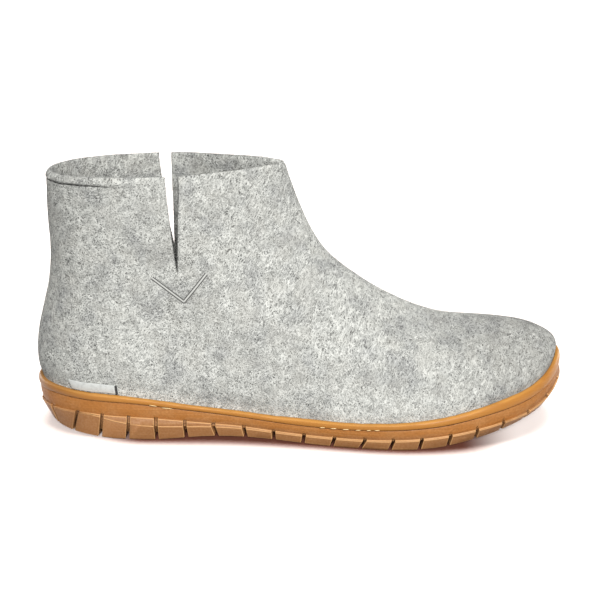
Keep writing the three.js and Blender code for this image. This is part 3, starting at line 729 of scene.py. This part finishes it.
class WOOLBOOT_OT_upper(Operator):
    """Felt upper: the solid softened, with its hollows, creases and rolled cuff"""

    bl_idname = "wool_boot.upper"
    bl_label = "Felt upper"

    def execute(self, context):
        wool = context.scene.wool_boot_wool
        bm = merged_copy("upper")
        join_flat(bm, 30)
        crease_sharp(bm, 55, 0.55, above=0.08)
        piece = shown(bm, "felt_upper", felt_material("wool_felt", wool), "upper")
        subdivide(piece, 2)
        mesh = piece.data
        co, no = corners_of(mesh)
        above = co[:, 2] - rim_line("foxing", True)(co[:, 0])
        free = ease(above, 0.0005, 0.009)
        move = wool.unevenness * (waves(co, 0.028, 1) + 0.35 * waves(co, 0.009, 2)) * free
        outward = self.outward_of(co, no)
        for centre, radius, depth in HOLLOWS:
            reach = np.linalg.norm(co - np.array(centre) * MM, axis=1) / (radius * MM)
            move += depth * MM * np.exp(-(reach * 1.6) ** 2) * free * outward
        for start, end, width, depth in CREASES:
            a, b = np.array(start) * MM, np.array(end) * MM
            t = np.clip(((co - a) @ (b - a)) / ((b - a) @ (b - a)), 0, 1)
            near = np.linalg.norm(co - (a + t[:, None] * (b - a)), axis=1) / (width * MM)
            taper = np.sin(np.pi * np.clip(t * 0.8 + 0.1, 0, 1))
            move += depth * MM * np.exp(-near ** 2) * taper * free * outward
        collar = (outward > 0) * (co[:, 2] > COLLAR_Z - 0.014)
        round_back = (1 - ease(co[:, 0] - HEEL_X, 0.033, 0.054)) * collar
        level = CUFF_HEIGHT + CUFF_SLOPE * co[:, 0]
        move -= 0.40 * MM * np.exp(-((co[:, 2] - level) / (0.8 * MM)) ** 2) * round_back
        put_corners(mesh, co + no * move[:, None])
        # Masks for painted shade: the dark line under the rolled cuff, and the darker inside of the boot.
        put_attribute(mesh, "cuff", round_back)
        put_attribute(mesh, "inside", outward < 0)
        return {"FINISHED"}

    def outward_of(self, co, no):
        """1 where the felt faces out of the boot and -1 on its inside."""
        from_shaft = co[:, :2] - np.array([SHAFT_X, 0.0])
        from_foot = co - np.array([SHAFT_X, 0.0, FOOT_Z])
        from_foot[:, 0] *= 0.3
        shaft = np.sign((from_shaft * no[:, :2]).sum(1))
        return np.where(co[:, 0] > SHAFT_END, np.sign((from_foot * no).sum(1)), shaft)


class WOOLBOOT_OT_fibres(Operator):
    """Loose wool fibres that stand a little off the felt"""

    bl_idname = "wool_boot.fibres"
    bl_label = "Loose fibres"

    def execute(self, context):
        wool = context.scene.wool_boot_wool
        felt = bpy.data.objects["felt_upper"].data
        felt.calc_loop_triangles()
        co, no = corners_of(felt)
        tri = np.array([t.vertices for t in felt.loop_triangles])
        centre = co[tri].mean(1)
        area = np.array([t.area for t in felt.loop_triangles])
        rim = rim_line("foxing", True)
        weight = area * (centre[:, 2] > rim(centre[:, 0]) - 0.0005)
        weight *= 1 + 1.5 * (centre[:, 2] > COLLAR_Z - 0.012)
        weight *= 1 + 1.2 * (centre[:, 2] < rim(centre[:, 0]) + 0.004)
        dice = np.random.RandomState(FIBRE_SEED)
        pick = dice.choice(len(tri), wool.loose, p=weight / weight.sum())
        mix = dice.dirichlet((1, 1, 1), wool.loose)
        root = (co[tri[pick]] * mix[:, :, None]).sum(1)
        up = (no[tri[pick]] * mix[:, :, None]).sum(1)
        up /= np.linalg.norm(up, axis=1)[:, None]
        lie = np.cross(up, dice.normal(size=up.shape))
        lie /= np.linalg.norm(lie, axis=1)[:, None]
        side = np.cross(up, lie)
        length = wool.loose_length * dice.uniform(0.4, 1.3, wool.loose)
        stand = dice.uniform(0.05, 0.34, wool.loose) ** 1.3
        curl = dice.uniform(-0.5, 0.5, wool.loose)
        width = 0.00004 * dice.uniform(0.6, 1.4, wool.loose)
        shade = (dice.uniform(size=wool.loose) < 0.72) * dice.uniform(0.6, 1.0, wool.loose)
        bm = bmesh.new()
        strand = bm.verts.layers.float.new("strand")
        number = bm.verts.layers.int.new("number")
        side_of = bm.verts.layers.float.new("side_of")
        starts = []
        for i in range(wool.loose):
            vert = bmesh.ops.create_vert(bm, co=root[i])["vert"][0]
            vert[strand], vert[number], vert[side_of] = shade[i], i, -1
            starts.append(vert)
        grown = bmesh.ops.extrude_vert_indiv(bm, verts=starts)
        for vert in grown["verts"]:
            vert[side_of] = 1

        def lay(verts, part, taper):
            for vert in verts:
                i = vert[number]
                rise = stand[i] * (1.6 * part - 0.7 * part * part) * length[i]
                spot = root[i] + lie[i] * part * length[i] + side[i] * curl[i] * part * part * length[i]
                vert.co = spot + up[i] * (rise - FIBRE_SINK) + side[i] * vert[side_of] * width[i] * taper

        lay(starts + grown["verts"], 0, 1.0)
        edges = grown["edges"]
        for part, taper in ((0.5, 0.9), (1.0, 0.15)):
            made = bmesh.ops.extrude_edge_only(bm, edges=edges)["geom"]
            verts = [v for v in made if isinstance(v, bmesh.types.BMVert)]
            fresh = set(verts)
            edges = [e for e in made if isinstance(e, bmesh.types.BMEdge) and fresh.issuperset(e.verts)]
            lay(verts, part, taper)
        bm.normal_update()
        turned = [f for f in bm.faces if f.normal.dot(Vector(up[f.verts[0][number]])) < 0]
        bmesh.ops.reverse_faces(bm, faces=turned)
        shown(bm, "loose_fibres", loose_material(wool))
        return {"FINISHED"}


class WOOLBOOT_OT_insole(Operator):
    """Pressed felt footbed inside the boot"""

    bl_idname = "wool_boot.insole"
    bl_label = "Felt insole"

    def execute(self, context):
        wool = context.scene.wool_boot_wool
        bm = merged_copy("insole")
        felt = felt_material("insole_felt", wool, 0.72, 0.8)
        piece = shown(bm, "felt_insole", felt, "insole")
        mesh = piece.data
        for name in ("cuff", "inside"):
            put_attribute(mesh, name, np.zeros(len(mesh.vertices)))
        mesh.set_sharp_from_angle(angle=math.radians(60))
        return {"FINISHED"}


class WOOLBOOT_OT_sole(Operator):
    """Moulded rubber sole with rounded tread blocks"""

    bl_idname = "wool_boot.sole"
    bl_label = "Rubber sole"

    def execute(self, context):
        rubber = context.scene.wool_boot_rubber
        bm = merged_copy("outsole")
        bmesh.ops.dissolve_limit(
            bm, angle_limit=math.radians(0.6), use_dissolve_boundaries=False, verts=bm.verts, edges=bm.edges,
            delimit={"NORMAL"})
        bmesh.ops.remove_doubles(bm, verts=bm.verts, dist=0.00012)
        # Marks the rounded block edges, painted lighter: rubbed rubber and a painted highlight.
        rubbed_and_highlit_layer = bm.verts.layers.float.new("edge")
        edges = [e for e in bm.edges if len(e.link_faces) == 2 and e.is_convex
                 and e.calc_face_angle(0) > math.radians(32) and e.calc_length() > 0.0006]
        rounded = bmesh.ops.bevel(
            bm, geom=edges, offset=rubber.round_over, offset_type="OFFSET", affect="EDGES", segments=2,
            profile=0.5, material=-1, clamp_overlap=False, loop_slide=True)
        fresh = set(rounded["faces"])
        for vert in rounded["verts"]:
            vert[rubbed_and_highlit_layer] = float(fresh.issuperset(vert.link_faces))
        self.part_line(bm, rubber)
        piece = shown(bm, "rubber_sole", sole_material(rubber), "outsole")
        mesh = piece.data
        mesh.set_sharp_from_angle(angle=math.radians(17))
        co, _ = corners_of(mesh)
        share = (co[:, 0] - HEEL_X) / (2 * abs(HEEL_X))
        top = np.interp(share, *zip(*BLOCK_TOPS)) * MM
        put_attribute(mesh, "block", ease(top + 0.0004 - co[:, 2], -0.0002, 0.0002))
        return {"FINISHED"}

    def part_line(self, bm, rubber):
        """Cuts the line of the mould across the rear blocks as a fine groove."""
        line = lambda x: np.interp(x, *zip(*MOULD_LINE)) * MM
        first, last = MOULD_LINE[0][0], MOULD_LINE[-1][0]
        for vert in bm.verts:
            vert.co.z -= line(vert.co.x)
        bm.normal_update()
        for offset in (0.5, 0.0, -0.5):
            faces = [f for f in bm.faces if abs(f.normal.z) < 0.6 and first < f.calc_center_median().x < last]
            geom = {*faces, *(e for f in faces for e in f.edges), *(v for f in faces for v in f.verts)}
            cut = bmesh.ops.bisect_plane(
                bm, geom=list(geom), dist=1e-7, plane_co=(0, 0, offset * rubber.mould_line),
                plane_no=(0, 0, 1))
            if offset == 0:
                middle = [v for v in cut["geom_cut"] if isinstance(v, bmesh.types.BMVert)]
        bm.normal_update()
        for vert in bm.verts:
            vert.co.z += line(vert.co.x)
        for vert in middle:
            if vert.is_valid:
                vert.co -= vert.normal * rubber.mould_line * 0.5


class WOOLBOOT_OT_strip(Operator):
    """Glossy amber strip round the foot of the felt, with its lip"""

    bl_idname = "wool_boot.strip"
    bl_label = "Rubber strip"

    def execute(self, context):
        rubber = context.scene.wool_boot_rubber
        low, high = rim_line("foxing", False), rim_line("foxing", True)
        bm = merged_copy("foxing")
        join_flat(bm, 40)
        crease_sharp(bm, 50, 0.65)
        piece = shown(bm, "rubber_strip", strip_material(rubber), "foxing")
        subdivide(piece, 2)
        mesh = piece.data
        co, _ = corners_of(mesh)
        rise = (co[:, 2] - low(co[:, 0])) / (high(co[:, 0]) - low(co[:, 0]))
        co[:, 2] += ease(rise, 0.7, 0.95) * 0.22 * MM * waves(co, 0.0032, 9)
        put_corners(mesh, co)
        # Mask for the painted highlight along the upper edge of the strip.
        put_attribute(mesh, "lip", ease(rise, 0.62, 0.86))
        put_attribute(mesh, "foot", 1 - ease(rise, 0.0, 0.25))
        return {"FINISHED"}


def surface_of(name):
    """A search tree over a finished piece."""
    depsgraph = bpy.context.evaluated_depsgraph_get()
    return BVHTree.FromObject(bpy.data.objects[name], depsgraph)


def on_side(tree, x, z, side):
    """The point and normal of a surface at x and z, seen from a side: -1 is the outer one."""
    point, normal, _, _ = tree.ray_cast(Vector((x, 0.2 * side, z)), Vector((0, -side, 0)))
    if point is None:
        raise RuntimeError(f"nothing at x {x:.4f}, z {z:.4f}")
    return point, normal


class WOOLBOOT_OT_seams(Operator):
    """Pointed seam below each slit: a pressed thread between two fine grooves"""

    bl_idname = "wool_boot.seams"
    bl_label = "Pointed seams"

    def execute(self, context):
        thread = context.scene.wool_boot_thread
        wool = context.scene.wool_boot_wool
        felt = surface_of("felt_upper")
        points = [Vector(spot) for spot in zip(thread.seam_points, thread.seam_heights)]
        along, across = SEAM_CELLS
        pale = tuple(0.85 * a for a in wool.light)
        for side, name in ((-1, "outer_seam"), (1, "inner_seam")):
            shift = 0.0 if side < 0 else INNER_SEAM_SHIFT
            bm = bmesh.new()
            groove = bm.verts.layers.float.new("groove")
            bmesh.ops.create_grid(bm, x_segments=along, y_segments=across, size=1)
            legs = [points[1] - points[0], points[2] - points[1]]
            normals = [Vector((-leg.y, leg.x)).normalized() for leg in legs]
            mitre = (normals[0] + normals[1]).normalized()
            mitre /= mitre.dot(normals[0])
            for vert in bm.verts:
                t, w = (vert.co.x + 1) / 2, vert.co.y
                if t <= 0.5:
                    part, a, b, first, last = t * 2, points[0], points[1], normals[0], mitre
                else:
                    part, a, b, first, last = t * 2 - 1, points[1], points[2], mitre, normals[1]
                offset = first.lerp(last, part)
                if 0.02 < part < 0.98:
                    offset = normals[0] if t <= 0.5 else normals[1]
                spot = a.lerp(b, part) + offset * w * thread.seam_width / 2
                point, normal = on_side(felt, spot.x + shift, spot.y, side)
                hump = np.interp(abs(w), *zip(*SEAM_HEIGHT)) * MM
                vert.co = point + normal * hump
                # Painted shade in the grooves beside the thread.
                vert[groove] = np.interp(abs(w), *zip(*SEAM_GROOVE_SHADE))
            bm.normal_update()
            if sum(f.normal.y for f in bm.faces) * side < 0:
                bmesh.ops.reverse_faces(bm, faces=bm.faces)
            piece = shown(bm, name, thread_material("seam_thread", pale, (0.03, 0.03, 0.03)))
            subdivide(piece, 1)
        return {"FINISHED"}


class WOOLBOOT_OT_tab(Operator):
    """Blank woven side tab with its dark end stitches"""

    bl_idname = "wool_boot.tab"
    bl_label = "Side tab"

    def execute(self, context):
        thread = context.scene.wool_boot_thread
        bm = merged_copy("label_tab")
        join_flat(bm, 30)
        edges = [e for e in bm.edges if len(e.link_faces) == 2 and e.calc_face_angle(0) > math.radians(50)]
        bmesh.ops.bevel(
            bm, geom=edges, offset=0.00018, offset_type="OFFSET", affect="EDGES", segments=2, profile=0.5,
            material=-1, clamp_overlap=True)
        piece = shown(bm, "side_tab", tape_material(thread), "label_tab")
        piece.data.set_sharp_from_angle(angle=math.radians(50))
        _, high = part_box("label_tab")
        tape = surface_of("side_tab")
        bm = bmesh.new()
        groove = bm.verts.layers.float.new("groove")
        for i in range(STITCHES):
            part = (i + 0.5) / STITCHES
            x = high.x - 0.0016 + 0.0006 * part
            z = STITCH_TOP - STITCH_ROW * part
            point, normal = on_side(tape, x - 0.0004, z, -1)
            ring = bmesh.ops.create_uvsphere(bm, u_segments=8, v_segments=6, radius=1)["verts"]
            for vert in ring:
                place = Vector([a * b for a, b in zip(vert.co, STITCH_HALF)])
                place.z += vert.co.x * STITCH_SLANT
                vert.co = point + place + normal * 0.00012
                vert[groove] = 0.0
        stitch = thread_material("dark_thread", thread.dark_thread, (0.01, 0.01, 0.01))
        shown(bm, "tab_stitches", stitch)
        return {"FINISHED"}


class WOOLBOOT_OT_glue(Operator):
    """Specks of dried glue in the joint of strip and sole"""

    bl_idname = "wool_boot.glue"
    bl_label = "Glue specks"

    def execute(self, context):
        strip = surface_of("rubber_strip")
        low = rim_line("foxing", False)
        bm = bmesh.new()
        for x, length in GLUE_SPECKS:
            height = low(x * MM) + 0.00035
            point, _ = on_side(strip, x * MM, height + 0.0006, -1)
            ball = bmesh.ops.create_icosphere(bm, subdivisions=2, radius=1)["verts"]
            slope = (low(x * MM + 0.004) - low(x * MM - 0.004)) / 0.008
            for vert in ball:
                bump = 1 + 0.25 * noise.noise(vert.co * 2 + Vector((x, 0, 0)))
                dx = vert.co.x * length * MM / 2 * bump
                vert.co = Vector((
                    point.x + dx, point.y + vert.co.y * 0.00022 * bump,
                    height + vert.co.z * 0.00024 * bump + dx * slope))
        shown(bm, "glue_specks", glue_material())
        return {"FINISHED"}


class WOOLBOOT_OT_studio(Operator):
    """Pale floor, soft light and the camera"""

    bl_idname = "wool_boot.studio"
    bl_label = "Studio"

    def execute(self, context):
        scene, studio = context.scene, context.scene.wool_boot_studio
        bm = bmesh.new()
        bmesh.ops.create_grid(bm, x_segments=8, y_segments=8, size=8.0)
        mesh = bpy.data.meshes.new("floor")
        bm.to_mesh(mesh)
        bm.free()
        floor = bpy.data.objects.new("floor", mesh)
        scene.collection.objects.link(floor)
        mesh.materials.append(floor_material(studio))

        world = bpy.data.worlds.new("studio")
        scene.world = world
        world.use_nodes = True
        tree = world.node_tree
        sky = tree.nodes["Background"].inputs
        sky["Color"].default_value = (1.0, 1.0, 1.0, 1.0)
        seen = add(tree, "ShaderNodeLightPath").outputs["Is Camera Ray"]
        tree.links.new(math_of(tree, "MAXIMUM", seen, studio.sky), sky["Strength"])

        floor.visible_diffuse = False
        reach = {}
        for name, state in (("floor_only", "INCLUDE"), ("all_but_floor", "EXCLUDE")):
            reach[name] = bpy.data.collections.new(name)
            reach[name].objects.link(floor)
            reach[name].collection_objects[0].light_linking.link_state = state
        for name, place, spread, power, lit in (
            ("main_light", (0.24, -1.48, 0.73), 34, studio.key, "all_but_floor"),
            ("top_light", (-0.20, 0.10, 1.60), 60, studio.top, "all_but_floor"),
            ("left_back_light", (-1.00, 1.05, 0.20), 40, studio.back, "all_but_floor"),
            ("right_back_light", (1.00, 1.05, 0.20), 40, studio.back, "all_but_floor"),
            ("floor_top_light", (0.0, -0.30, 1.60), 34, studio.floor_light, "floor_only"),
            ("floor_front_light", (0.05, -1.50, 0.46), 20, 3.5 * studio.floor_light, "floor_only"),
        ):
            lamp = bpy.data.lights.new(name, "SUN")
            lamp.angle, lamp.energy = math.radians(spread), power
            holder = bpy.data.objects.new(name, lamp)
            scene.collection.objects.link(holder)
            holder.location = place
            holder.rotation_euler = (-Vector(place)).to_track_quat("-Z", "Y").to_euler()
            holder.light_linking.receiver_collection = reach[lit]

        camera = bpy.data.cameras.new("camera")
        camera.sensor_width, camera.lens = 36.0, studio.lens
        camera.clip_start, camera.clip_end = 0.02, 60.0
        holder = bpy.data.objects.new("camera", camera)
        scene.collection.objects.link(holder)
        target = Vector((0, 0, studio.middle))
        back = Vector((0, -math.cos(studio.elevation), math.sin(studio.elevation)))
        holder.location = target + back * studio.distance
        holder.rotation_euler = (-back).to_track_quat("-Z", "Y").to_euler()
        scene.camera = holder
        scene.view_settings.view_transform = "Standard"
        return {"FINISHED"}


# ---------------------------------------------------------------- add-on


OPERATORS = (
    WOOLBOOT_OT_upper, WOOLBOOT_OT_fibres, WOOLBOOT_OT_insole, WOOLBOOT_OT_sole, WOOLBOOT_OT_strip,
    WOOLBOOT_OT_seams, WOOLBOOT_OT_tab, WOOLBOOT_OT_glue, WOOLBOOT_OT_studio,
)
SETTINGS = (
    ("wool_boot_wool", WoolSettings, "Wool"),
    ("wool_boot_rubber", RubberSettings, "Rubber"),
    ("wool_boot_thread", ThreadSettings, "Thread"),
    ("wool_boot_studio", StudioSettings, "Studio"),
)


class WOOLBOOT_PT_panel(Panel):
    bl_idname = "WOOLBOOT_PT_panel"
    bl_label = "Wool boot"
    bl_space_type = "VIEW_3D"
    bl_region_type = "UI"
    bl_category = "Boot"

    def draw(self, context):
        for name, group, label in SETTINGS:
            box = self.layout.box()
            box.label(text=label)
            for key in group.__annotations__:
                box.prop(getattr(context.scene, name), key)
        for operator in OPERATORS:
            self.layout.operator(operator.bl_idname)


def register():
    for _, group, _ in SETTINGS:
        bpy.utils.register_class(group)
    for made in (*OPERATORS, WOOLBOOT_PT_panel):
        bpy.utils.register_class(made)
    for name, group, _ in SETTINGS:
        setattr(bpy.types.Scene, name, PointerProperty(type=group))


def unregister():
    for name, _, _ in SETTINGS:
        delattr(bpy.types.Scene, name)
    for made in (*OPERATORS, WOOLBOOT_PT_panel):
        bpy.utils.unregister_class(made)
    for _, group, _ in SETTINGS:
        bpy.utils.unregister_class(group)


def main():
    register()
    bpy.ops.wool_boot.upper()
    bpy.ops.wool_boot.fibres()
    bpy.ops.wool_boot.insole()
    bpy.ops.wool_boot.sole()
    bpy.ops.wool_boot.strip()
    bpy.ops.wool_boot.seams()
    bpy.ops.wool_boot.tab()
    bpy.ops.wool_boot.glue()
    bpy.ops.wool_boot.studio()
    bpy.context.view_layer.update()


if __name__ == "__main__":
    main()
